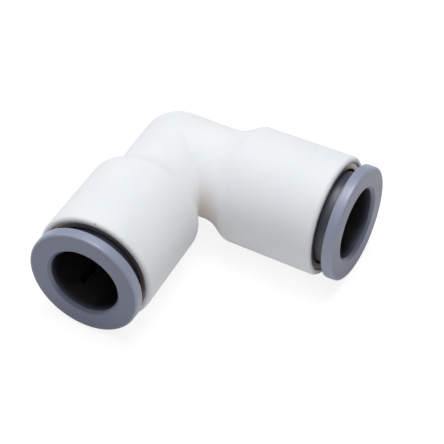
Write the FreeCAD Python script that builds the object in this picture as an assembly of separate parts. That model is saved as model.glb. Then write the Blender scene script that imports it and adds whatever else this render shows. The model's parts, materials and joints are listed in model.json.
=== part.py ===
# Push-in elbow fitting for two tubes at a right angle, in millimetres, +Z up.
#
# A white moulded elbow carries the same set of pieces in each of its two mouths. From the tube stop outwards
# these are a seal ring, a spacer ring, a toothed grip ring, a pressed-in guide ring and a grey release collet
# that slides in the guide ring. Port b opens along +X and port a along -Y, and the elbow lies on its two
# barrels. The pieces of a port are drawn once along +X, with the corner where the port axes cross at x = 0,
# and turned for port a.
import FreeCAD, Part
import math
import os

Vector = FreeCAD.Vector

# Tube and flow
tube_d = 12.0              # outside diameter of the tube that both ports take
tube_clearance = 0.1       # all round the tube, in its socket and in the collet
passage_d = 9.0            # flow passage through the corner
tube_stop = 11.0           # from the corner to the shoulder that stops the tube
socket_length = 5.0        # length of wall that holds the tube's end
socket_lead_in = 0.4       # chamfer at the mouth of the socket

# Clearances
slide_gap = 0.3            # all round the collet, in the guide ring
seat_gap = 0.02            # all round the pieces that are pressed or seated in the body
swivel_gap = 0.1           # each side of the grip ring, which is free to turn
stop_gap = 0.1             # collet to its stop, at rest and pressed home
spacer_gap = 0.2           # all round the tube, in the spacer ring
grip_side_gap = 0.2        # all round the grip ring, in the body

# Seal ring, flat outside and tapering to a lip on the tube
seal_gland = 2.05          # radial room between the tube and the chamber's wall
seal_width = 2.4           # along the tube
seal_back = 1.1            # height of the ring's parallel sides
seal_lip = 0.8             # width of the lip
seal_bite = 0.13           # how far the lip reaches inside the tube's surface
seal_side_gap = 0.1        # each side of the ring in its chamber

# Spacer ring
spacer_length = 2.7
recess_slope = 45.0        # degrees, the recess that the teeth bend into
recess_margin = 0.3        # recess mouth outside the roots of the teeth

# Grip ring, stamped with teeth that lean away from the mouth
grip_thickness = 0.5
grip_rim = 1.1             # flat rim outside the teeth
tooth_count = 12
tooth_gap = 0.7            # between neighbouring teeth
tooth_lean = 35.0          # degrees from the plane of the rim
tooth_bite = 0.13          # how far the tips reach inside the tube's surface

# Guide ring, pressed into the mouth
guide_length = 6.8
guide_recess = 0.2         # face of the ring below the end of the mouth
guide_wall = 0.35          # outside the groove
guide_lip = 2.4            # outer land, which guides and keeps the collet
guide_foot = 0.6           # inner land, which holds the grip ring
guide_edge = 0.2           # chamfer round the face
barb_count = 2
barb_pitch = 2.0
barb_depth = 0.12

# Release collet
collet_wall = 1.8
press_travel = 1.75        # how far the collet is pressed to let go of the tube
flange_thickness = 1.95
flange_inset = 0.45        # flange edge inside the outside of the barrel
flange_edge = 0.4          # chamfers of the flange
lead_in = 0.5              # chamfer at the mouth of the bore
bead_height = 0.35         # above the guide ring's outer land
bead_land = 0.7
bead_slope = 40.0          # degrees, on the side that snaps in
nose_wall = 1.4
finger_count = 6
finger_slot = 1.2          # width of the slots between the fingers
finger_length = 5.5

# Elbow body
mouth_wall = 1.08          # round the guide ring, at the end of the mouth
mouth_round = 0.7          # outer edge of the mouth
mouth_lead_in = 0.2        # inner edge of the mouth
barrel_draft = 0.9         # degrees, the barrel narrows towards the corner
shoulder_step = 2.1        # barrel outside the neck
shoulder_foot = 9.2        # from the corner to where the shoulder leaves the neck
shoulder_slope = 34.0      # degrees from the port's axis
shoulder_hollow = 5.5      # radius of the hollow at the foot of the shoulder
shoulder_crest = 2.5       # radius of the crest where the barrel begins
corner_flat = 1.4          # straight length of each neck beyond the corner
crotch_round = 0.3         # between the two necks, on the inside of the corner

# Radii, from the tube outwards
tube_r = tube_d / 2
bore_r = tube_r + tube_clearance
passage_r = passage_d / 2
chamber_r = tube_r + seal_gland
sleeve_r = bore_r + collet_wall
land_r = sleeve_r + slide_gap
bead_r = land_r + bead_height
groove_r = bead_r + slide_gap
guide_r = groove_r + guide_wall
seat_r = guide_r + seat_gap
grip_r = seat_r - grip_side_gap
tooth_root_r = grip_r - grip_rim
tooth_tip_r = tube_r - tooth_bite
nose_r = bore_r + nose_wall
mouth_r = seat_r + mouth_wall
flange_r = mouth_r - flange_inset

# Stations along a port, from the corner outwards
seal_start = tube_stop + socket_length
spacer_start = seal_start + seal_width + 2 * seal_side_gap
grip_room = spacer_start + spacer_length
grip_back = grip_room + swivel_gap
grip_front = grip_back + grip_thickness
guide_start = grip_front + swivel_gap
guide_end = guide_start + guide_length
mouth_end = guide_end + guide_recess
flange_back = mouth_end + press_travel + stop_gap
flange_face = flange_back + flange_thickness
land_start = guide_end - guide_lip
bead_face = land_start - stop_gap

# Outside of the barrel
draft = math.tan(math.radians(barrel_draft))
rise = math.tan(math.radians(shoulder_slope))
neck_r = mouth_r - shoulder_step - draft * (mouth_end - shoulder_foot)
crest_at = shoulder_foot + shoulder_step / (rise - draft)
crest_r = mouth_r - draft * (mouth_end - crest_at)

# Where the fitting touches what it lies on: the widest place of the barrel, just behind the mouth's round edge
widest_r = mouth_r - mouth_round * (draft + 1 / math.cos(math.radians(barrel_draft)) - 1)

tooth_fall = math.tan(math.radians(tooth_lean))
touching = 1e-6            # points closer than this are one point


def tooth_front(radius):
    # Where the front of a tooth stands along the port, at a radius inside its root.
    return grip_front - (tooth_root_r - radius) * tooth_fall


def outline(corners):
    # Closed wire through corners (along the port, radius, rounding), each rounded by a tangent arc if it has one.
    points = [Vector(along, radius, 0) for along, radius, rounding in corners]
    edges = []
    joints = []
    for number, (along, radius, rounding) in enumerate(corners):
        point = points[number]
        if rounding == 0:
            joints.append((point, point))
            continue
        before = (points[number - 1] - point).normalize()
        after = (points[(number + 1) % len(points)] - point).normalize()
        half = before.getAngle(after) / 2
        start = point + before * (rounding / math.tan(half))
        end = point + after * (rounding / math.tan(half))
        towards_centre = (before + after).normalize()
        middle = point + towards_centre * (rounding / math.sin(half) - rounding)
        edges.append(Part.Arc(start, middle, end).toShape())
        joints.append((start, end))
    for number, (start, end) in enumerate(joints):
        reach = joints[(number + 1) % len(joints)][0]
        if end.distanceToPoint(reach) > touching:
            edges.append(Part.makeLine(end, reach))
    return Part.Wire(Part.__sortEdges__(edges))


def turned(corners):
    # Solid of revolution about the port's axis.
    return Part.Face(outline(corners)).revolve(Vector(0, 0, 0), Vector(1, 0, 0), 360)


def to_port_a(shape):
    # Turns a piece drawn for port b, along +X, to port a, along -Y.
    copy = shape.copy()
    copy.rotate(Vector(0, 0, 0), Vector(0, 0, 1), -90)
    return copy


def round_the_axis(tool, count):
    # The tool repeated evenly round the port's axis.
    copies = []
    for number in range(count):
        copy = tool.copy()
        copy.rotate(Vector(0, 0, 0), Vector(1, 0, 0), 360 * number / count)
        copies.append(copy)
    return copies


def corner_wedge(first, turn, last):
    # Wedge between the vertical line through the corner and a rounded corner of the neck. In plan at mid height
    # the round is an arc from first to last, tangent to the lines that meet at turn. At other heights it is the
    # same arc, smaller as the section of the neck is narrower there, so it runs smoothly into both necks.
    half = (first - turn).getAngle(last - turn) / 2
    plan = [(first, 1.0), (turn, math.sin(half)), (last, 1.0)]
    diagonal = math.sqrt(0.5)
    rim = [(0, -1, 1.0), (1, -1, diagonal), (1, 0, 1.0), (1, 1, diagonal), (0, 1, 1.0)]
    poles = [[Vector(width * point.x, width * point.y, height * neck_r) for width, height, weight in rim]
             for point, pull in plan]
    weights = [[weight * pull for width, height, weight in rim] for point, pull in plan]
    skin = Part.BSplineSurface()
    skin.buildFromPolesMultsKnots(poles, [3, 3], [3, 2, 3], [0, 1], [0, 1, 2], False, False, 2, 2, weights)
    upright = Part.makeLine(Vector(0, 0, -neck_r), Vector(0, 0, neck_r))
    faces = [skin.toShape()]
    for side in (0, 2):
        edge = Part.BSplineCurve()
        edge.buildFromPolesMultsKnots(poles[side], [3, 2, 3], [0, 1, 2], False, 2,
                                      [weight for width, height, weight in rim])
        faces.append(Part.Face(Part.Wire([edge.toShape(), upright])))
    shell = Part.makeShell(faces)
    shell.sewShape()
    wedge = Part.Solid(Part.Shell(shell.Faces))
    if wedge.Volume < 0:
        wedge.reverse()
    return wedge


def neck_past_corner():
    # The part of port b's neck that runs straight on past the corner, as far as the round of the corner.
    neck = Part.makeCylinder(neck_r, neck_r, Vector(-neck_r, 0, 0), Vector(1, 0, 0))
    plan = [Vector(0, 0, -neck_r), Vector(0, neck_r, -neck_r), Vector(-corner_flat, neck_r, -neck_r)]
    sector = Part.Face(Part.makePolygon(plan + plan[:1])).extrude(Vector(0, 0, 2 * neck_r))
    return neck.common(sector)


def elbow_body():
    leg = turned([
        (0, 0, 0),
        (0, neck_r, 0),
        (shoulder_foot, neck_r, shoulder_hollow),
        (crest_at, crest_r, shoulder_crest),
        (mouth_end, mouth_r, mouth_round),
        (mouth_end, 0, 0),
    ])
    past = neck_past_corner()
    other_past = past.mirror(Vector(0, 0, 0), Vector(1, 1, 0))
    outer = corner_wedge(Vector(-neck_r, corner_flat, 0), Vector(-neck_r, neck_r, 0),
                         Vector(-corner_flat, neck_r, 0))
    reach = neck_r + crotch_round
    inner = corner_wedge(Vector(neck_r, -reach, 0), Vector(neck_r, -neck_r, 0), Vector(reach, -neck_r, 0))
    form = leg.fuse(to_port_a(leg)).fuse([past, other_past, outer]).removeSplitter()
    form = form.fuse(inner).removeSplitter()

    cavity = turned([
        (0, 0, 0),
        (0, passage_r, 0),
        (tube_stop, passage_r, 0),
        (tube_stop, bore_r, 0),
        (seal_start - socket_lead_in, bore_r, 0),
        (seal_start, bore_r + socket_lead_in, 0),
        (seal_start, chamber_r, 0),
        (spacer_start, chamber_r, 0),
        (spacer_start, seat_r, 0),
        (mouth_end - mouth_lead_in, seat_r, 0),
        (mouth_end, seat_r + mouth_lead_in, 0),
        (mouth_end, 0, 0),
    ])
    bend = Part.makeSphere(passage_r)
    return form.cut([cavity, to_port_a(cavity), bend])


def seal_ring():
    lip_r = tube_r - seal_bite
    back_r = chamber_r - seat_gap
    start = seal_start + seal_side_gap
    end = start + seal_width
    middle = (start + end) / 2
    return turned([
        (start, back_r, 0),
        (end, back_r, 0),
        (end, back_r - seal_back, 0),
        (middle + seal_lip / 2, lip_r, 0),
        (middle - seal_lip / 2, lip_r, 0),
        (start, back_r - seal_back, 0),
    ])


def spacer_ring():
    bore = tube_r + spacer_gap
    recess_r = tooth_root_r + recess_margin
    recess_depth = (recess_r - bore) / math.tan(math.radians(recess_slope))
    return turned([
        (spacer_start, bore, 0),
        (spacer_start, guide_r, 0),
        (grip_room, guide_r, 0),
        (grip_room, recess_r, 0),
        (grip_room - recess_depth, bore, 0),
    ])


def grip_ring():
    lean = math.radians(tooth_lean)
    tip = tooth_front(tooth_tip_r)
    back_root_r = tooth_root_r + grip_thickness * (1 / math.cos(lean) - 1) / tooth_fall
    blank = turned([
        (grip_front, grip_r, 0),
        (grip_front, tooth_root_r, 0),
        (tip, tooth_tip_r, 0),
        (tip - grip_thickness * math.cos(lean), tooth_tip_r + grip_thickness * math.sin(lean), 0),
        (grip_back, back_root_r, 0),
        (grip_back, grip_r, 0),
    ])
    start = tip - 2 * grip_thickness
    depth = grip_front + grip_thickness - start
    gap = Part.makeBox(depth, back_root_r, tooth_gap, Vector(start, 0, -tooth_gap / 2))
    gap_end = Part.makeCylinder(tooth_gap / 2, depth, Vector(start, back_root_r, 0), Vector(1, 0, 0))
    return blank.cut(round_the_axis(gap.fuse(gap_end), tooth_count))


def guide_ring():
    groove_start = guide_start + guide_foot
    barbs = []
    for number in range(barb_count):
        back = land_start - number * barb_pitch
        barbs += [(back, guide_r, 0), (back, guide_r - barb_depth, 0)]
    last = land_start - barb_count * barb_pitch
    return turned([
        (guide_end, land_r + guide_edge, 0),
        (guide_end, guide_r - guide_edge, 0),
        (guide_end - guide_edge, guide_r, 0),
        *barbs,
        (max(last, guide_start + guide_edge), guide_r, 0),
        (guide_start, guide_r - guide_edge, 0),
        (guide_start, land_r, 0),
        (groove_start, land_r, 0),
        (groove_start, groove_r, 0),
        (land_start, groove_r, 0),
        (land_start, land_r, 0),
        (guide_end - guide_edge, land_r, 0),
    ])


def release_collet():
    # The nose lies along the fronts of the teeth, one press and one gap away from them.
    ahead = press_travel + stop_gap / math.cos(math.radians(tooth_lean))
    bead_foot = bead_face - bead_land - (bead_r - nose_r) / math.tan(math.radians(bead_slope))
    nose_tip = tooth_front(bore_r) + ahead
    sleeve = turned([
        (nose_tip, bore_r, 0),
        (flange_face - lead_in, bore_r, 0),
        (flange_face, bore_r + lead_in, 0),
        (flange_face, flange_r - flange_edge, 0),
        (flange_face - flange_edge, flange_r, 0),
        (flange_back + flange_edge, flange_r, 0),
        (flange_back, flange_r - flange_edge, 0),
        (flange_back, sleeve_r, 0),
        (bead_face, sleeve_r, 0),
        (bead_face, bead_r, 0),
        (bead_face - bead_land, bead_r, 0),
        (bead_foot, nose_r, 0),
        (tooth_front(nose_r) + ahead, nose_r, 0),
    ])
    slot_end = nose_tip + finger_length
    start = nose_tip - finger_slot
    slot = Part.makeBox(slot_end - start, flange_r, finger_slot, Vector(start, 0, -finger_slot / 2))
    slot_round = Part.makeCylinder(finger_slot / 2, flange_r, Vector(slot_end, 0, 0), Vector(0, 1, 0))
    return sleeve.cut(round_the_axis(slot.fuse(slot_round), finger_count))


def main():
    os.makedirs("parts", exist_ok=True)
    port_pieces = {
        "seal_ring": seal_ring(),
        "spacer_ring": spacer_ring(),
        "grip_ring": grip_ring(),
        "guide_ring": guide_ring(),
        "release_collet": release_collet(),
    }
    nodes = {"elbow_body": elbow_body()}
    for name, piece in port_pieces.items():
        nodes[name + "_a"] = to_port_a(piece)
        nodes[name + "_b"] = piece

    # The origin of the finished part is under the middle of its outline, on the surface that it lies on.
    middle = (flange_face - widest_r) / 2
    for name, shape in nodes.items():
        placed = shape.copy()
        placed.translate(Vector(-middle, middle, widest_r))
        placed.exportStep("parts/" + name + ".step")
        print(name, "valid" if placed.isValid() else "NOT VALID", "solids", len(placed.Solids),
              "volume %.2f mm3" % placed.Volume, "faces", len(placed.Faces))
    print("corner at (%.4f, %.4f, %.4f)" % (-middle, middle, widest_r))
    print("mouth radius %.3f, neck radius %.3f, crest %.3f at %.3f" % (mouth_r, neck_r, crest_r, crest_at))
    print("mouth end %.3f, flange %.3f to %.3f, flange radius %.3f" % (mouth_end, flange_back, flange_face, flange_r))
    print("seat radius %.3f, tooth root %.3f, socket radius %.3f" % (seat_r, tooth_root_r, bore_r))


main()
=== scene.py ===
# Push-in elbow fitting: the look of each piece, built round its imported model. Blender's unit is the metre.
# Lengths are millimetres in a piece's dictionary and metres in a look's, and angles are degrees. A place
# along a port counts outwards from the corner where the two port axes cross, and an R is a radius about the
# port's axis.
import bpy
import bmesh
import json
import math
import numpy as np
from mathutils import Matrix, Vector


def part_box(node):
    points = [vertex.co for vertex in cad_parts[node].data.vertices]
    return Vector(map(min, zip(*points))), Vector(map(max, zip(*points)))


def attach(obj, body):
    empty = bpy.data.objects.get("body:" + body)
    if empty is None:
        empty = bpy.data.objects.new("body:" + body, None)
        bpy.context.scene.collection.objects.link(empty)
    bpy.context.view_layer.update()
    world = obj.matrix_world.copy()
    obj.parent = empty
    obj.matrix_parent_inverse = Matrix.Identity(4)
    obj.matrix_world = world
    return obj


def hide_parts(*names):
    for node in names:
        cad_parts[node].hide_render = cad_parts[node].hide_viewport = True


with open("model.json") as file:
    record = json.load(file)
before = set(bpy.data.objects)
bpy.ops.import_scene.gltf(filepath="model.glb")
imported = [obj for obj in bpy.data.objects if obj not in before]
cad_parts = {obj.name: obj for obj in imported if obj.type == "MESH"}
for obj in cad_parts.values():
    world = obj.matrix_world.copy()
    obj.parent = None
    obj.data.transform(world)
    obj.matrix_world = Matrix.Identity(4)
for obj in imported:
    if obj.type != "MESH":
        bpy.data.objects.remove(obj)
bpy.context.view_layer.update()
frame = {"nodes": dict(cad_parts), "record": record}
mm = 0.001
mergeDistance = 1e-7  # metres, points nearer than this become one
sharpAngle = 32  # degrees, an edge that turns more than this stays sharp

# Where the fitting stands: the corner of the port axes, and how a piece drawn along +X turns to each port
mounts = {mount["name"]: mount["pos_m"] for mount in frame["record"]["mounts"]}
corner = np.array([mounts["port_a"][0], mounts["port_b"][1], mounts["port_b"][2]])
portTurn = {"a": -90.0, "b": 0.0}  # about z


def alongPort(node, high):
    # how far a node of port b reaches along its port, in mm
    return (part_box(node)[1 if high else 0].x - corner[0]) / mm


def acrossPort(node):
    # the outer radius of a round node of port b, in mm
    return (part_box(node)[1].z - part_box(node)[0].z) / 2 / mm


# Mesh making
def roundedLine(corners, arcSteps, closed=False):
    # A line through corners (along, radius, rounding). Each corner with a rounding becomes the circle arc
    # that touches both of its sides: centre = corner + bisector * rounding / sin(half the angle).
    points = np.array(corners, float)
    line = []
    for k, rounding in enumerate(points[:, 2]):
        here = points[k, :2]
        if rounding == 0 or (not closed and k in (0, len(points) - 1)):
            line.append(here[None])
            continue
        before = points[k - 1, :2] - here
        after = points[(k + 1) % len(points), :2] - here
        before /= np.linalg.norm(before)
        after /= np.linalg.norm(after)
        half = math.acos(np.clip(before @ after, -1, 1)) / 2
        bisector = (before + after) / np.linalg.norm(before + after)
        centre = here + bisector * rounding / math.sin(half)
        start = here + before * rounding / math.tan(half) - centre
        end = here + after * rounding / math.tan(half) - centre
        first = math.atan2(start[1], start[0])
        turn = (math.atan2(end[1], end[0]) - first + math.pi) % (2 * math.pi) - math.pi
        angles = first + turn * np.linspace(0, 1, arcSteps + 1)
        line.append(centre + rounding * np.column_stack([np.cos(angles), np.sin(angles)]))
    return np.vstack(line)


def subdivided(line, longest):
    # The same line with no step longer than the given length, so that long faces stay near square.
    out = [line[:1]]
    for start, end in zip(line[:-1], line[1:]):
        steps = max(1, int(math.ceil(np.linalg.norm(end - start) / longest)))
        out.append(start + (end - start) * (np.arange(1, steps + 1) / steps)[:, None])
    return np.vstack(out)


def gridFaces(rows, columns, wrapRows, wrapColumns):
    # The quads of a grid of points numbered row by row, closed in either direction if asked.
    i = np.arange(rows if wrapRows else rows - 1)[:, None]
    j = np.arange(columns if wrapColumns else columns - 1)[None, :]
    below, beside = (i + 1) % rows, (j + 1) % columns
    quads = [i * columns + j, below * columns + j, below * columns + beside, i * columns + beside]
    return np.stack(np.broadcast_arrays(*quads), axis=-1).reshape(-1, 4)


def placed(points, port):
    # points in mm along +X, turned to the port and moved to the corner, in metres
    angle = math.radians(portTurn[port])
    cosine, sine = math.cos(angle), math.sin(angle)
    turn = np.array([[cosine, -sine, 0], [sine, cosine, 0], [0, 0, 1]])
    return points @ turn.T * mm + corner


def newObject(name, data):
    # One object at the origin, in the scene's own collection.
    thing = bpy.data.objects.new(name, data)
    bpy.context.scene.collection.objects.link(thing)
    return thing


def makePiece(name, points, faces, material, body, replaced):
    # One mesh object with its faces outwards, its doubles merged and its real edges kept sharp. With a face's
    # corners a, b, c and d taken from the middle, a . (b x c + c x d) is six times the volume between face
    # and middle, and its sum is negative where the faces point inwards.
    a, b, c, d = (points[faces[:, k]] - points.mean(0) for k in range(4))
    volume = np.einsum("ij,ij->i", a, np.cross(b, c) + np.cross(c, d))
    if volume.sum() < 0:
        faces = faces[:, ::-1]
    mesh = bpy.data.meshes.new(name)
    mesh.from_pydata(points.tolist(), [], faces.tolist())
    work = bmesh.new()
    work.from_mesh(mesh)
    bmesh.ops.remove_doubles(work, verts=work.verts, dist=mergeDistance)
    bmesh.ops.dissolve_degenerate(work, edges=work.edges, dist=mergeDistance)
    work.to_mesh(mesh)
    work.free()
    mesh.polygons.foreach_set("use_smooth", np.ones(len(mesh.polygons), bool))
    mesh.set_sharp_from_angle(angle=math.radians(sharpAngle))
    mesh.materials.append(material)
    piece = newObject(name, mesh)
    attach(piece, body)
    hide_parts(replaced)
    print("made", name, len(mesh.polygons), "faces")


def turnedPoints(line, count):
    # A closed profile (along, radius) swept round the port's axis: y = radius cos t, z = radius sin t.
    angle = np.linspace(0, 2 * math.pi, count, endpoint=False)[:, None]
    along = np.broadcast_to(line[None, :, 0], (count, len(line)))
    return np.stack([along, line[:, 1] * np.cos(angle), line[:, 1] * np.sin(angle)], axis=-1).reshape(-1, 3)


# Materials
def newGroup(name, inputs, outputs):
    # A shader node group with its named sockets, and its input and output nodes.
    group = bpy.data.node_groups.new(name, "ShaderNodeTree")
    for label, kind, value in inputs:
        socket = group.interface.new_socket(name=label, in_out="INPUT", socket_type=kind)
        if value is not None:
            socket.default_value = value
    for label, kind in outputs:
        group.interface.new_socket(name=label, in_out="OUTPUT", socket_type=kind)
    return group, group.nodes.new("NodeGroupInput"), group.nodes.new("NodeGroupOutput")


def addNode(tree, kind, values=None, **settings):
    # A new node with its settings, and its input sockets at the given values.
    node = tree.nodes.new(kind)
    for key, value in settings.items():
        setattr(node, key, value)
    for socket, value in (values or {}).items():
        node.inputs[socket].default_value = value
    return node


def wire(tree, pairs):
    # Links each output to the input that it feeds.
    for output, socket in pairs:
        tree.links.new(output, socket)


def aboutAxis(tree, vector):
    # A vector's x and its distance from the x axis, which is the length of (0, y, z).
    split = addNode(tree, "ShaderNodeSeparateXYZ")
    flat = addNode(tree, "ShaderNodeCombineXYZ", {"X": 0.0})
    radius = addNode(tree, "ShaderNodeVectorMath", operation="LENGTH")
    wire(tree, [
        (vector, split.inputs["Vector"]),
        (split.outputs["Y"], flat.inputs["Y"]),
        (split.outputs["Z"], flat.inputs["Z"]),
        (flat.outputs["Vector"], radius.inputs[0]),
    ])
    return split.outputs["X"], radius.outputs["Value"]


def mouldedTexture():
    # Grain is the fine unevenness of a moulded skin, Tone its slow drift of colour and gloss, both 0 to 1.
    group, given, result = newGroup(
        "mouldedTexture",
        [("Vector", "NodeSocketVector", None), ("Grain Scale", "NodeSocketFloat", 1800.0),
         ("Tone Scale", "NodeSocketFloat", 90.0)],
        [("Grain", "NodeSocketFloat"), ("Tone", "NodeSocketFloat")])
    fine = addNode(group, "ShaderNodeTexNoise", {"Detail": 4.0, "Roughness": 0.6})
    slow = addNode(group, "ShaderNodeTexNoise", {"Detail": 2.0, "Roughness": 0.5})
    for noise, scale, output in ((fine, "Grain Scale", "Grain"), (slow, "Tone Scale", "Tone")):
        wire(group, [
            (given.outputs["Vector"], noise.inputs["Vector"]),
            (given.outputs[scale], noise.inputs["Scale"]),
            (noise.outputs["Fac"], result.inputs[output]),
        ])
    return group


def latheTexture():
    # Rings are the fine tool marks round the x axis: noise read along the length and the radius, and so the
    # same all round the axis.
    group, given, result = newGroup(
        "latheTexture",
        [("Vector", "NodeSocketVector", None), ("Ring Scale", "NodeSocketFloat", 6000.0)],
        [("Rings", "NodeSocketFloat")])
    along, radius = aboutAxis(group, given.outputs["Vector"])
    joined = addNode(group, "ShaderNodeCombineXYZ", {"Z": 0.0})
    noise = addNode(group, "ShaderNodeTexNoise", {"Detail": 3.0, "Roughness": 0.7})
    wire(group, [
        (along, joined.inputs["X"]),
        (radius, joined.inputs["Y"]),
        (joined.outputs["Vector"], noise.inputs["Vector"]),
        (given.outputs["Ring Scale"], noise.inputs["Scale"]),
        (noise.outputs["Fac"], result.inputs["Rings"]),
    ])
    return group


def portMasks():
    # Masks about the x axis, each a smooth step along x, across the radius or both. Depth and Deep go from 0
    # at the mouth of a bore to 1 inside it, over a short and a long way, Rim is 1 on the edge of the collet's
    # flange, and Behind is 1 behind the flange. They place painted light and shade, and Depth also the bore's
    # gloss.
    sizes = {
        "Face": 0.032, "Fade": 0.003, "Deep Fade": 0.01, "Bore Radius": 0.006, "Edge": 0.0005,
        "Rim Radius": 0.0095, "Flange Back": 0.031,
    }
    group, given, result = newGroup(
        "portMasks",
        [("Vector", "NodeSocketVector", None)]
        + [(label, "NodeSocketFloat", size) for label, size in sizes.items()],
        [(mask, "NodeSocketFloat") for mask in ("Depth", "Deep", "Rim", "Behind")])
    along, radius = aboutAxis(group, given.outputs["Vector"])

    def step(value, end, width, above):
        # 0 to 1 as the value goes up over the width to the end, or down over the width to the end
        start = addNode(group, "ShaderNodeMath", operation="SUBTRACT" if above else "ADD")
        ramp = addNode(group, "ShaderNodeMapRange", {"To Min": 0.0, "To Max": 1.0},
                       interpolation_type="SMOOTHSTEP")
        wire(group, [
            (given.outputs[end], start.inputs[0]),
            (given.outputs[width], start.inputs[1]),
            (value, ramp.inputs["Value"]),
            (start.outputs["Value"], ramp.inputs["From Min"]),
            (given.outputs[end], ramp.inputs["From Max"]),
        ])
        return ramp.outputs["Result"]

    inBore = step(radius, "Bore Radius", "Edge", False)
    for mask, fade in (("Depth", "Fade"), ("Deep", "Deep Fade")):
        both = addNode(group, "ShaderNodeMath", operation="MULTIPLY")
        inward = addNode(group, "ShaderNodeMath", {0: 1.0}, operation="SUBTRACT")
        wire(group, [
            (step(along, "Face", fade, True), inward.inputs[1]),
            (inward.outputs["Value"], both.inputs[0]),
            (inBore, both.inputs[1]),
            (both.outputs["Value"], result.inputs[mask]),
        ])
    wire(group, [
        (step(radius, "Rim Radius", "Edge", True), result.inputs["Rim"]),
        (step(along, "Flange Back", "Edge", False), result.inputs["Behind"]),
    ])
    return group


mouldedGroup = mouldedTexture()
latheGroup = latheTexture()
portGroup = portMasks()


def startMaterial(name, look):
    # A material with its Principled shader set from the look's plain values.
    material = bpy.data.materials.new(name)
    material.use_nodes = True
    tree = material.node_tree
    shader = tree.nodes["Principled BSDF"]
    sockets = {
        "metallic": "Metallic", "specular": "Specular IOR Level", "subsurface": "Subsurface Weight",
        "subsurfaceRadius": "Subsurface Radius", "subsurfaceScale": "Subsurface Scale",
    }
    for key, socket in sockets.items():
        if key in look:
            shader.inputs[socket].default_value = look[key]
    coordinates = addNode(tree, "ShaderNodeTexCoord")
    return material, tree, shader, coordinates


def mixBetween(tree, factor, low, high):
    # A colour that goes from low to high with the factor.
    mix = addNode(tree, "ShaderNodeMix", data_type="RGBA")
    mix.inputs["A"].default_value = (*low, 1.0)
    mix.inputs["B"].default_value = (*high, 1.0)
    tree.links.new(factor, mix.inputs["Factor"])
    return mix.outputs["Result"]


def mixOver(tree, factor, colour, shade):
    # A colour that goes over to a plain shade with the factor.
    mix = addNode(tree, "ShaderNodeMix", data_type="RGBA")
    mix.inputs["B"].default_value = (*shade, 1.0)
    wire(tree, [(colour, mix.inputs["A"]), (factor, mix.inputs["Factor"])])
    return mix.outputs["Result"]


def spread(tree, factor, low, high):
    # A value that goes from low to high as the factor goes from 0.3 to 0.7, where most noise lies.
    scaled = addNode(tree, "ShaderNodeMapRange",
                     {"From Min": 0.3, "From Max": 0.7, "To Min": low, "To Max": high})
    tree.links.new(factor, scaled.inputs["Value"])
    return scaled.outputs["Result"]


def addBump(tree, shader, height, distance, strength):
    # Bump from the height, whose full range stands for the distance.
    bump = addNode(tree, "ShaderNodeBump", {"Strength": strength, "Distance": distance})
    tree.links.new(height, bump.inputs["Height"])
    tree.links.new(bump.outputs["Normal"], shader.inputs["Normal"])


def alongAxis(tree, coordinates, port):
    # Object coordinates moved to the corner and turned so that x runs out along the port's axis.
    angle = math.radians(-portTurn[port])
    place = Matrix.Rotation(angle, 3, "Z") @ Vector(corner)
    mapping = addNode(tree, "ShaderNodeMapping", {"Location": -place, "Rotation": (0, 0, angle)})
    tree.links.new(coordinates.outputs["Object"], mapping.inputs["Vector"])
    return mapping.outputs["Vector"]


def mouldedPlastic(name, look, port=None):
    # Moulded plastic or rubber: two close tones, an uneven gloss, a fine grain, and any specks and spots of
    # painted light. Round a port it also has the look's painted light and shade, and a gloss of its own in
    # the bore.
    material, tree, shader, coordinates = startMaterial(name, look)
    texture = addNode(tree, "ShaderNodeGroup", node_tree=mouldedGroup)
    texture.inputs["Grain Scale"].default_value = look["grainScale"]
    texture.inputs["Tone Scale"].default_value = look["toneScale"]
    tree.links.new(coordinates.outputs["Object"], texture.inputs["Vector"])
    tone = spread(tree, texture.outputs["Tone"], 0.0, 1.0)
    colour = mixBetween(tree, tone, look["colour"], look["otherColour"])
    # specks, and spots of painted light such as the warm bounce light painted into the crotch
    for spotValues in look.get("specksAndPaintedLight", []):
        colour = addSpot(tree, coordinates, colour, spotValues)
    roughness = spread(tree, texture.outputs["Tone"], *look["roughness"])
    if port:
        # painted light and shade round the port, in the port's masks
        colour, masks = portPaintedLight(tree, coordinates, colour, look, port)
        dull = addNode(tree, "ShaderNodeMix", {"B": look["boreRoughness"]}, data_type="FLOAT")
        wire(tree, [(roughness, dull.inputs["A"]), (masks.outputs["Depth"], dull.inputs["Factor"])])
        roughness = dull.outputs["Result"]
    wire(tree, [(colour, shader.inputs["Base Color"]), (roughness, shader.inputs["Roughness"])])
    addBump(tree, shader, texture.outputs["Grain"], look["grainDepth"], look["grainStrength"])
    return material


def addSpot(tree, coordinates, colour, spotValues):
    # A spot of another colour round one point of the surface, full in its core and fading out to its reach.
    # It makes both real specks and spots of painted light.
    distance = addNode(tree, "ShaderNodeVectorMath", {1: spotValues["place"]}, operation="DISTANCE")
    fade = {"From Min": spotValues["core"], "From Max": spotValues["reach"], "To Min": spotValues["strength"], "To Max": 0.0}
    edge = addNode(tree, "ShaderNodeMapRange", fade, interpolation_type="SMOOTHSTEP")
    wire(tree, [
        (coordinates.outputs["Object"], distance.inputs[0]),
        (distance.outputs["Value"], edge.inputs["Value"]),
    ])
    return mixOver(tree, edge.outputs["Result"], colour, spotValues["colour"])


def portPaintedLight(tree, coordinates, colour, look, port):
    # Painted light and shade: the colour goes over to the look's painted colour in each of the port's masks
    # that the look names.
    masks = addNode(tree, "ShaderNodeGroup", node_tree=portGroup)
    for socket, value in look["port"].items():
        masks.inputs[socket].default_value = value
    tree.links.new(alongAxis(tree, coordinates, port), masks.inputs["Vector"])
    for mask, shade in look["paintedLight"].items():
        colour = mixOver(tree, masks.outputs[mask], colour, shade)
    return colour, masks


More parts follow.
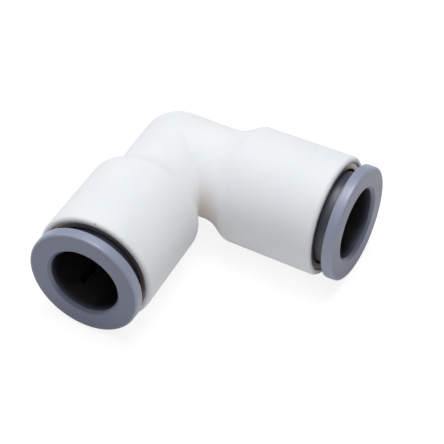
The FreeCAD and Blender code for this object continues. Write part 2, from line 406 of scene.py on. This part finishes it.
def turnedMetal(name, look, port):
    # Metal with fine rings about the port's axis, which a Mapping node lays along x.
    material, tree, shader, coordinates = startMaterial(name, look)
    texture = addNode(tree, "ShaderNodeGroup", node_tree=latheGroup)
    texture.inputs["Ring Scale"].default_value = look["ringScale"]
    tree.links.new(alongAxis(tree, coordinates, port), texture.inputs["Vector"])
    rings = spread(tree, texture.outputs["Rings"], 0.0, 1.0)
    colour = mixBetween(tree, rings, look["colour"], look["otherColour"])
    # painted shade round the port, where the look has it
    if "paintedLight" in look:
        colour = portPaintedLight(tree, coordinates, colour, look, port)[0]
    tree.links.new(colour, shader.inputs["Base Color"])
    tree.links.new(spread(tree, texture.outputs["Rings"], *look["roughness"]), shader.inputs["Roughness"])
    addBump(tree, shader, texture.outputs["Rings"], look["ringDepth"], look["ringStrength"])
    return material


# The finishes. Roughness is the range that the texture runs over, and a paintedLight colour is painted light
# or shade inside its mask.
whiteLook = {
    "colour": (0.845, 0.86, 0.87), "otherColour": (0.87, 0.88, 0.885),
    "roughness": (0.54, 0.62), "specular": 0.35,
    "subsurface": 0.35, "subsurfaceRadius": (1.0, 0.75, 0.5), "subsurfaceScale": 0.0012,
    "grainScale": 2200.0, "toneScale": 110.0, "grainDepth": 0.00002, "grainStrength": 0.25,
    # a warm tint of painted bounce light in the crotch, and a tiny dark speck near the mouth of port a
    "specksAndPaintedLight": [
        {"place": (-0.003, 0.0035, 0.0085), "core": 0.0, "reach": 0.0075, "strength": 0.9,
         "colour": (0.9, 0.82, 0.755)},
        {"place": (-0.01087, -0.01774, 0.02042), "core": 0.00012, "reach": 0.0003, "strength": 0.9,
         "colour": (0.05, 0.045, 0.045)},
    ],
}
colletLook = {
    "colour": (0.129, 0.141, 0.218), "otherColour": (0.14, 0.154, 0.236),
    "roughness": (0.33, 0.41), "specular": 0.95,
    "grainScale": 2600.0, "toneScale": 260.0, "grainDepth": 0.00002, "grainStrength": 0.35,
    # painted light and shade: Rim lightens the flange's edge as painted light, Behind is painted shade on the
    # sleeve behind the flange, and Depth and Deep are painted shade down the bore
    "paintedLight": {"Rim": (0.285, 0.313, 0.412), "Behind": (0.056, 0.06, 0.085),
               "Depth": (0.012, 0.012, 0.016), "Deep": (0.002, 0.0018, 0.0025)},
    "boreRoughness": 0.42,
    "port": {"Face": alongPort("release_collet_b", True) * mm, "Fade": 0.002, "Deep Fade": 0.004,
             "Bore Radius": 0.0062, "Edge": 0.0004, "Rim Radius": 0.00975, "Flange Back": 0.0305},
}
spacerLook = {
    "colour": (0.55, 0.55, 0.52), "otherColour": (0.6, 0.6, 0.58), "roughness": (0.4, 0.5),
    "grainScale": 2600.0, "toneScale": 260.0, "grainDepth": 0.00002, "grainStrength": 0.3,
}
sealLook = {
    "colour": (0.012, 0.012, 0.013), "otherColour": (0.02, 0.02, 0.021), "roughness": (0.5, 0.62),
    "grainScale": 3000.0, "toneScale": 300.0, "grainDepth": 0.00003, "grainStrength": 0.5,
}
guideLook = {
    "colour": (0.37, 0.285, 0.245), "otherColour": (0.5, 0.39, 0.34), "roughness": (0.3, 0.42),
    "metallic": 1.0, "ringScale": 5200.0, "ringDepth": 0.00001, "ringStrength": 0.3,
    # painted shade: the ring darkens from its face inwards, as far as its groove, deep in the mouth
    "paintedLight": {"Depth": (0.025, 0.023, 0.023)},
    "port": {"Face": 0.028, "Fade": 0.0015, "Bore Radius": 0.02},
}
gripLook = {
    "colour": (0.52, 0.52, 0.53), "otherColour": (0.62, 0.62, 0.63), "roughness": (0.22, 0.32),
    "metallic": 1.0, "ringScale": 4000.0, "ringDepth": 0.00001, "ringStrength": 0.2,
}

whitePlastic = mouldedPlastic("whitePlastic", whiteLook)
colletPlastic = {port: mouldedPlastic("colletPlastic_" + port, colletLook, port) for port in portTurn}
spacerPlastic = mouldedPlastic("spacerPlastic", spacerLook)
sealRubber = mouldedPlastic("sealRubber", sealLook)
print("materials made")

# The elbow body
body = {
    # the corner where the two necks meet, and the crotch inside it
    "cornerFlat": 1.4, "crotchRound": 0.3,
    # the shoulder: a hollow foot, a slope and a crest, one step up to the barrel, which narrows by its draft
    "footAt": 9.2, "hollowRound": 5.5, "slope": 34.0, "crestRound": 2.5, "step": 2.1, "draft": 0.9,
    # the mouth, and the seat of the guide ring in it
    "mouthWall": 1.08, "mouthRound": 0.7, "mouthLeadIn": 0.2, "seatR": 9.22, "edge": 0.06,
    # further in: the seal's chamber, the tube's socket and stop, and the flow passage
    "ledgeAt": 18.6, "chamberR": 8.05, "chamberAt": 16.0, "socketLeadIn": 0.4, "socketR": 6.1,
    "stopAt": 11.0, "stopRound": 0.18, "passageR": 4.5, "throatAt": 8.0, "throatRound": 0.4,
    # how fine the mesh is, with barrelAt as the place where the shoulder's columns end
    "barrelAt": 14.0, "roundSteps": 192, "shoulderSteps": 56, "throatSteps": 8, "cornerSteps": 20,
    "arcSteps": 8, "shoulderArcSteps": 60, "longestFace": 1.6,
}


def elbowBody(size):
    # The body is one closed grid: round the section by angle, and lengthwise out along leg b, in through its
    # mouth, round the passage's corner, out through leg a and back over the outside corner.
    # The barrel's line falls from the mouth to one step above the neck at the shoulder's foot, and the slope
    # meets it at the crest, so crest = foot + step / (tan slope - tan draft).
    mouthAt = alongPort("elbow_body", True)
    mouthR = size["seatR"] + size["mouthWall"]
    fall = math.tan(math.radians(size["draft"]))
    rise = math.tan(math.radians(size["slope"]))
    neckR = mouthR - size["step"] - fall * (mouthAt - size["footAt"])
    crestAt = size["footAt"] + size["step"] / (rise - fall)
    outside = roundedLine([
        (-neckR, neckR, 0),
        (size["footAt"], neckR, size["hollowRound"]),
        (crestAt, mouthR - fall * (mouthAt - crestAt), size["crestRound"]),
        (mouthAt, mouthR, 0),
    ], arcSteps=size["shoulderArcSteps"])
    startR = np.interp(size["barrelAt"], outside[:, 0], outside[:, 1])
    mouthAndBores = subdivided(roundedLine([
        (size["barrelAt"], startR, 0),
        (mouthAt, mouthR, size["mouthRound"]),
        (mouthAt, size["seatR"] + size["mouthLeadIn"], size["edge"]),
        (mouthAt - size["mouthLeadIn"], size["seatR"], size["edge"]),
        (size["ledgeAt"], size["seatR"], size["edge"]),
        (size["ledgeAt"], size["chamberR"], size["edge"]),
        (size["chamberAt"], size["chamberR"], size["edge"]),
        (size["chamberAt"], size["socketR"] + size["socketLeadIn"], size["edge"]),
        (size["chamberAt"] - size["socketLeadIn"], size["socketR"], size["edge"]),
        (size["stopAt"], size["socketR"], size["edge"]),
        (size["stopAt"], size["passageR"], size["stopRound"]),
        (size["throatAt"], size["passageR"], 0),
    ], arcSteps=size["arcSteps"]), longest=size["longestFace"])

    # half a step off, so that no column stands just between the outside and the inside of the corner
    angle = (np.arange(size["roundSteps"]) + 0.5) * 2 * math.pi / size["roundSteps"]
    outward, upward = np.cos(angle)[:, None], np.sin(angle)[:, None]

    def cornerStart(radius, flat, crotch):
        # where the straight lines of the leg end, by angle: past the corner outside, short of it inside
        return np.where(outward > 0, -flat * outward, (radius + crotch) * -outward)

    def legPoints(along, radius):
        # x = along, y = radius cos angle, z = radius sin angle
        return np.stack([along, radius * outward, radius * upward], axis=-1)

    steps = np.linspace(0, 1, size["shoulderSteps"], endpoint=False)[None]
    outerStart = cornerStart(neckR, size["cornerFlat"], size["crotchRound"])
    shoulderAlong = outerStart + (size["barrelAt"] - outerStart) * steps
    shoulder = legPoints(shoulderAlong, np.interp(shoulderAlong, outside[:, 0], outside[:, 1]))
    middleAlong = np.broadcast_to(mouthAndBores[:, 0], (len(angle), len(mouthAndBores)))
    middle = legPoints(middleAlong, mouthAndBores[None, :, 1])
    innerStart = cornerStart(size["passageR"], 0.0, size["throatRound"])
    back = np.linspace(0, 1, size["throatSteps"] + 1)[None, 1:]
    throatAlong = size["throatAt"] + (innerStart - size["throatAt"]) * back
    throat = legPoints(throatAlong, np.full_like(throatAlong, size["passageR"]))
    legB = np.concatenate([shoulder, middle, throat], axis=1)

    def mirrored(points):
        # leg a is leg b mirrored in the upright plane between them: x and y change places and signs
        return np.stack([-points[..., 1], -points[..., 0], points[..., 2]], axis=-1)

    def cornerArc(start, towards):
        # A conic from a point of leg b to its mirror image in leg a: (start (1 - t)^2 + pole 2 t (1 - t) w +
        # end t^2) / (the sum of the three weights), with w the root of a half. The pole is where the leg's
        # tangent meets the plane between the legs, so that the conic leaves both legs smoothly.
        tangent = towards / towards[:, :1]
        reach = (start[:, 0] + start[:, 1]) / (tangent[:, 0] + tangent[:, 1])
        pole = start - tangent * reach[:, None]
        end = mirrored(start)
        t = np.linspace(0, 1, size["cornerSteps"] + 2)[1:-1]
        first, second, third = (1 - t) ** 2, 2 * t * (1 - t) * math.sqrt(0.5), t ** 2
        total = first + second + third
        weights = np.stack([first, second, third])[..., None] / total[:, None]
        return start[:, None] * weights[0] + pole[:, None] * weights[1] + end[:, None] * weights[2]

    innerCorner = cornerArc(legB[:, -1], legB[:, -2] - legB[:, -1])
    outerCorner = cornerArc(legB[:, 0], legB[:, 1] - legB[:, 0])[:, ::-1]
    legA = mirrored(legB)[:, ::-1]
    grid = np.concatenate([legB, innerCorner, legA, outerCorner], axis=1)
    faces = gridFaces(grid.shape[0], grid.shape[1], True, True)
    points = placed(grid.reshape(-1, 3), "b")
    makePiece("elbow_body_skin", points, faces, whitePlastic, "fitting", "elbow_body")


elbowBody(body)

# The release collets
collet = {
    # the sleeve with its bore, and the flange at its outer end
    "boreR": 6.1, "leadIn": 0.5, "sleeveR": 7.9, "flangeThickness": 1.95, "faceRound": 0.4, "backRound": 0.25,
    "rootRound": 0.3,
    # the fingers, the bead round them and the nose, which leans back from its tip as the teeth do
    "fingers": 6, "fingerLength": 5.5, "slotWidth": 1.2, "beadAt": 26.3, "beadLand": 0.7, "beadR": 8.55,
    "beadLean": 0.01, "beadFoot": 24.35, "noseR": 7.5, "noseLean": 35.0, "edge": 0.06, "softEdge": 0.12,
    # how fine the mesh is, with the columns of one finger
    "columns": 28, "arcSteps": 6, "longestFace": 0.5, "fingerArcSteps": 4, "longestFingerFace": 0.12,
}


def releaseCollet(size, port):
    # The sleeve is cut into fingers: in each sector the angle runs between the edges of two slots, and the
    # edges meet beyond the slot's round end. Half a slot's width is the root of (half width^2 - beyond^2),
    # with beyond the way past the start of its round end. Walls join the outside to the bore along each slot.
    face = alongPort("release_collet_b", True)
    tip = alongPort("release_collet_b", False)
    flangeR = acrossPort("release_collet_b")
    flangeBack = face - size["flangeThickness"]
    noseBack = tip + (size["noseR"] - size["boreR"]) * math.tan(math.radians(size["noseLean"]))
    slotEnd = tip + size["fingerLength"]
    slotTop = slotEnd + size["slotWidth"] / 2
    outer = subdivided(roundedLine([
        (slotTop, size["sleeveR"], 0),
        (size["beadAt"], size["sleeveR"], size["edge"]),
        (size["beadAt"] - size["beadLean"], size["beadR"], size["edge"]),
        (size["beadAt"] - size["beadLand"], size["beadR"], size["softEdge"]),
        (size["beadFoot"], size["noseR"], size["softEdge"]),
        (noseBack, size["noseR"], size["softEdge"]),
        (tip, size["boreR"], 0),
    ], arcSteps=size["fingerArcSteps"]), longest=size["longestFingerFace"])
    rest = subdivided(roundedLine([
        (slotTop, size["boreR"], 0),
        (face - size["leadIn"], size["boreR"], size["softEdge"]),
        (face, size["boreR"] + size["leadIn"], size["softEdge"]),
        (face, flangeR, size["faceRound"]),
        (flangeBack, flangeR, size["backRound"]),
        (flangeBack, size["sleeveR"], size["rootRound"]),
        (slotTop, size["sleeveR"], 0),
    ], arcSteps=size["arcSteps"]), longest=size["longestFace"])
    bore = np.column_stack([outer[::-1, 0], np.full(len(outer), size["boreR"])])
    loop = np.vstack([outer, bore[:-1], rest[:-1]])

    half = size["slotWidth"] / 2
    beyond = np.clip(loop[:, 0] - slotEnd, 0, half)
    slotHalf = np.sqrt(np.maximum(half ** 2 - beyond ** 2, 0))
    slotHalf[np.isclose(loop[:, 0], slotTop, rtol=0, atol=1e-6)] = 0
    edgeAngle = np.arcsin(slotHalf / loop[:, 1])
    sector = 2 * math.pi / size["fingers"]
    across = np.linspace(0, 1, size["columns"] + 1)[:, None]  # from one slot to the next
    points, faces = [], []
    for number in range(size["fingers"]):
        angle = sector * number + edgeAngle + across * (sector - 2 * edgeAngle)
        along = np.broadcast_to(loop[None, :, 0], angle.shape)
        grid = np.stack([along, loop[:, 1] * np.cos(angle), loop[:, 1] * np.sin(angle)], axis=-1)
        base = number * grid.shape[0] * len(loop)
        points.append(grid.reshape(-1, 3))
        faces.append(gridFaces(grid.shape[0], len(loop), False, True) + base)
        # an outer point of the loop, and the bore point at the same place along the port: the tip stands in
        # both lines, and becomes one point when the doubles are merged
        outside = np.arange(len(outer) - 1)
        inside = 2 * len(outer) - 1 - outside
        for column, flip in ((0, False), (size["columns"], True)):
            start = base + column * len(loop)
            wall = np.stack([outside, outside + 1, inside - 1, inside], axis=-1) + start
            faces.append(wall[:, ::-1] if flip else wall)
    points, faces = np.vstack(points), np.vstack(faces)
    name = "release_collet_" + port
    makePiece(name + "_skin", placed(points, port), faces, colletPlastic[port], "collet_" + port,
              name)


# The guide rings pressed into the mouths
guide = {
    "landR": 8.2, "grooveR": 8.85, "lip": 2.4, "foot": 0.6, "faceRound": 0.18, "edge": 0.06,
    "roundSteps": 160, "arcSteps": 5, "longestFace": 0.6,
}


def guideRing(size, port, material):
    # A turned ring. Its profile runs down the outer wall and back through the foot's land, the groove and the
    # lip's land to the face.
    start, end = alongPort("guide_ring_b", False), alongPort("guide_ring_b", True)
    outerR = acrossPort("guide_ring_b")
    line = subdivided(roundedLine([
        (end, outerR, size["faceRound"]),
        (start, outerR, size["faceRound"]),
        (start, size["landR"], size["edge"]),
        (start + size["foot"], size["landR"], size["edge"]),
        (start + size["foot"], size["grooveR"], size["edge"]),
        (end - size["lip"], size["grooveR"], size["edge"]),
        (end - size["lip"], size["landR"], size["edge"]),
        (end, size["landR"], size["faceRound"]),
    ], arcSteps=size["arcSteps"], closed=True), longest=size["longestFace"])
    points = turnedPoints(line, size["roundSteps"])
    faces = gridFaces(size["roundSteps"], len(line), True, True)
    name = "guide_ring_" + port
    makePiece(name + "_skin", placed(points, port), faces, material, "fitting", name)


for port in portTurn:
    releaseCollet(collet, port)
    guideRing(guide, port, turnedMetal("guideMetal_" + port, guideLook, port))
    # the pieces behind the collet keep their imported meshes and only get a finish
    hidden = {
        "grip_ring_": turnedMetal("gripSteel_" + port, gripLook, port),
        "spacer_ring_": spacerPlastic,
        "seal_ring_": sealRubber,
    }
    for prefix, material in hidden.items():
        node = frame["nodes"][prefix + port]
        node.data.materials.clear()
        node.data.materials.append(material)
print("ports finished")

# The camera, found by a fit of the outline: angles in degrees, lengths in millimetres, the lens in pixels of
# a picture that is pictureWidth wide
camera = {"azimuth": 27.32, "elevation": 44.59, "roll": 0.67, "distance": 409.8, "aside": -6.868,
          "above": 10.509, "focalPixels": 2445.7, "pictureWidth": 444.0, "sensor": 36.0, "clipStart": 10.0}


def makeCamera(values):
    # The camera stands back from the corner along its own line of sight, then moves aside and up, so that the
    # corner lies at (aside, above) in its view. Its axes are turned about that line by the roll.
    azimuth, elevation, roll = (math.radians(values[key]) for key in ("azimuth", "elevation", "roll"))
    reach = math.cos(elevation)
    back = Vector((math.sin(azimuth) * reach, -math.cos(azimuth) * reach, math.sin(elevation)))
    level = Vector((0, 0, 1)).cross(back).normalized()
    upright = back.cross(level)
    right = level * math.cos(roll) + upright * math.sin(roll)
    up = upright * math.cos(roll) - level * math.sin(roll)
    moved = back * values["distance"] - right * values["aside"] - up * values["above"]
    data = bpy.data.cameras.new("camera")
    data.sensor_width = values["sensor"]
    data.lens = values["focalPixels"] / values["pictureWidth"] * values["sensor"]
    data.clip_start = values["clipStart"] * mm
    eye = newObject("camera", data)
    turned = Matrix((right, up, back)).transposed().to_4x4()
    eye.matrix_world = Matrix.Translation(Vector(corner) + moved * mm) @ turned
    bpy.context.scene.camera = eye


makeCamera(camera)

# Floor, world and lamps, in metres
studio = {
    "floorHalf": 1.5, "floorColour": (0.85, 0.85, 0.85), "seenColour": (0.25, 0.25, 0.25),
    "seenGlow": 0.85, "mirrorGlow": 0.15, "worldStrength": 0.25,
    "aim": (0.0, 0.0, 0.01), "lampColour": (0.98, 1.0, 1.03),
    "lamps": [
        {"name": "above", "place": (0.0, 0.1, 0.6), "size": 0.3, "watts": 1.85},
        {"name": "overhead", "place": (0.05, -0.09, 0.6), "size": 0.6, "watts": 1.0},
        {"name": "left", "place": (-0.45, 0.0, 0.3), "size": 0.25, "watts": 0.44},
    ],
}


def makeStudio(values):
    # A pale floor, a white world, and soft square lamps that point at the fitting. The floor glows for the
    # camera, and less in reflections, so that it shows as white in both and keeps its soft shadow.
    white = (1.0, 1.0, 1.0, 1.0)
    half = values["floorHalf"]
    mesh = bpy.data.meshes.new("floor")
    corners = [(-half, -half, 0), (half, -half, 0), (half, half, 0), (-half, half, 0)]
    mesh.from_pydata(corners, [], [(0, 1, 2, 3)])
    floor = newObject("floor", mesh)
    material = bpy.data.materials.new("floorPaper")
    material.use_nodes = True
    tree = material.node_tree
    tree.nodes.clear()
    paper = addNode(tree, "ShaderNodeBsdfDiffuse", {"Color": (*values["floorColour"], 1.0)})
    seenPaper = addNode(tree, "ShaderNodeBsdfDiffuse", {"Color": (*values["seenColour"], 1.0)})
    glow = addNode(tree, "ShaderNodeEmission", {"Color": white, "Strength": values["seenGlow"]})
    mirrorGlow = addNode(tree, "ShaderNodeEmission", {"Color": white, "Strength": values["mirrorGlow"]})
    path = addNode(tree, "ShaderNodeLightPath")
    seen = addNode(tree, "ShaderNodeMath", operation="MAXIMUM")
    seenWhite = addNode(tree, "ShaderNodeAddShader")
    mirrorWhite = addNode(tree, "ShaderNodeAddShader")
    mirrorMix = addNode(tree, "ShaderNodeMixShader")
    floorMix = addNode(tree, "ShaderNodeMixShader")
    output = addNode(tree, "ShaderNodeOutputMaterial")
    wire(tree, [
        (path.outputs["Is Camera Ray"], seen.inputs[0]),
        (path.outputs["Is Transmission Ray"], seen.inputs[1]),
        (seenPaper.outputs["BSDF"], seenWhite.inputs[0]),
        (glow.outputs["Emission"], seenWhite.inputs[1]),
        (paper.outputs["BSDF"], mirrorWhite.inputs[0]),
        (mirrorGlow.outputs["Emission"], mirrorWhite.inputs[1]),
        (path.outputs["Is Glossy Ray"], mirrorMix.inputs["Fac"]),
        (paper.outputs["BSDF"], mirrorMix.inputs[1]),
        (mirrorWhite.outputs["Shader"], mirrorMix.inputs[2]),
        (seen.outputs["Value"], floorMix.inputs["Fac"]),
        (mirrorMix.outputs["Shader"], floorMix.inputs[1]),
        (seenWhite.outputs["Shader"], floorMix.inputs[2]),
        (floorMix.outputs["Shader"], output.inputs["Surface"]),
    ])
    mesh.materials.append(material)

    world = bpy.data.worlds.new("studioWorld")
    world.use_nodes = True
    background = world.node_tree.nodes["Background"]
    background.inputs["Color"].default_value = white
    background.inputs["Strength"].default_value = values["worldStrength"]
    bpy.context.scene.world = world

    for lamp in values["lamps"]:
        data = bpy.data.lights.new(lamp["name"], "AREA")
        data.size = lamp["size"]
        data.energy = lamp["watts"]
        data.color = values["lampColour"]
        light = newObject(lamp["name"], data)
        light.location = lamp["place"]
        away = Vector(lamp["place"]) - Vector(values["aim"])
        light.rotation_euler = away.to_track_quat("Z", "Y").to_euler()


makeStudio(studio)
bpy.context.scene.view_settings.view_transform = "Standard"
print("camera, floor and lamps set")
